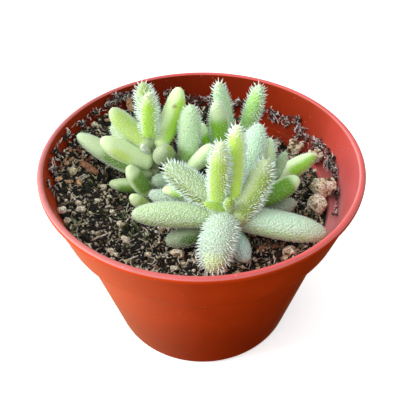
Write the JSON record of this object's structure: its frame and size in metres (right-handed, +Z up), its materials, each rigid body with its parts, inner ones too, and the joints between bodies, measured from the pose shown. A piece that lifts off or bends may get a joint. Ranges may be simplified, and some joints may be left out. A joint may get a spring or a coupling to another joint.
{
  "type": "potted variegated pickle plant",
  "caption": "Small succulent with plump, pale-edged leaves covered in short white bristles, growing from potting mix in a round tapered plastic nursery pot with a stepped collar.",
  "frame": {"origin": "centre of the pot's underside, on the surface that the pot stands on", "axes": "+Z up along the pot's axis; -Y towards the side that the picture was taken from; +X to the right as seen from there"},
  "size_m": [0.09, 0.09, 0.0774],
  "materials": {
    "pot": "satin injection-moulded polypropylene, terracotta coloured, with a fine sheen",
    "soil": "matte damp peat and bark potting mix with pale grains and fibres",
    "stem": "matte grey-brown succulent stem with short hairs",
    "leaf_lime": "satin yellow-green leaf with dense white bristles",
    "leaf_pale": "satin whitish green leaf with white bristles",
    "leaf_fresh": "satin mid-green leaf with a whitish edge and white bristles",
    "leaf_grey": "satin grey-green leaf with short white bristles",
    "stone": "rough porous pumice, tan with dark pits"
  },
  "bodies": {
    "root": {"pot": "pot", "soil": "soil", "stem_main": "stem", "stem_inner": "stem", "stem_right": "stem", "stem_slim": "stem", "stem_back": "stem", "stem_rear": "stem", "stem_middle": "stem", "stem_left": "stem", "stem_low": "stem", "leaf_main_1": "leaf_pale", "leaf_main_2": "leaf_pale", "leaf_main_3": "leaf_pale", "leaf_main_4": "leaf_lime", "leaf_main_5": "leaf_lime", "leaf_main_6": "leaf_lime", "leaf_main_7": "leaf_pale", "leaf_main_8": "leaf_lime", "leaf_main_9": "leaf_grey", "leaf_main_10": "leaf_grey", "leaf_main_11": "leaf_lime", "leaf_main_12": "leaf_lime", "leaf_main_13": "leaf_grey", "leaf_inner_1": "leaf_grey", "leaf_inner_2": "leaf_fresh", "leaf_right_1": "leaf_fresh", "leaf_right_2": "leaf_grey", "leaf_slim_1": "leaf_fresh", "leaf_slim_2": "leaf_pale", "leaf_slim_3": "leaf_fresh", "leaf_left_1": "leaf_pale", "leaf_left_2": "leaf_fresh", "leaf_left_3": "leaf_fresh", "leaf_left_4": "leaf_lime", "leaf_left_5": "leaf_lime", "leaf_left_6": "leaf_fresh", "leaf_left_7": "leaf_pale", "leaf_left_8": "leaf_pale", "leaf_left_9": "leaf_pale", "leaf_left_10": "leaf_fresh", "leaf_middle_1": "leaf_pale", "leaf_middle_2": "leaf_pale", "leaf_middle_3": "leaf_grey", "leaf_middle_4": "leaf_grey", "leaf_middle_5": "leaf_grey", "leaf_back_1": "leaf_fresh", "leaf_back_2": "leaf_fresh", "leaf_rear_1": "leaf_fresh", "leaf_rear_2": "leaf_fresh", "leaf_rear_3": "leaf_grey", "leaf_low_1": "leaf_fresh", "leaf_low_2": "leaf_fresh", "leaf_low_3": "leaf_grey", "stone_1": "stone", "stone_2": "stone", "stone_3": "stone", "stone_4": "stone", "stone_5": "stone", "stone_6": "stone"}
  },
  "joints": []
}
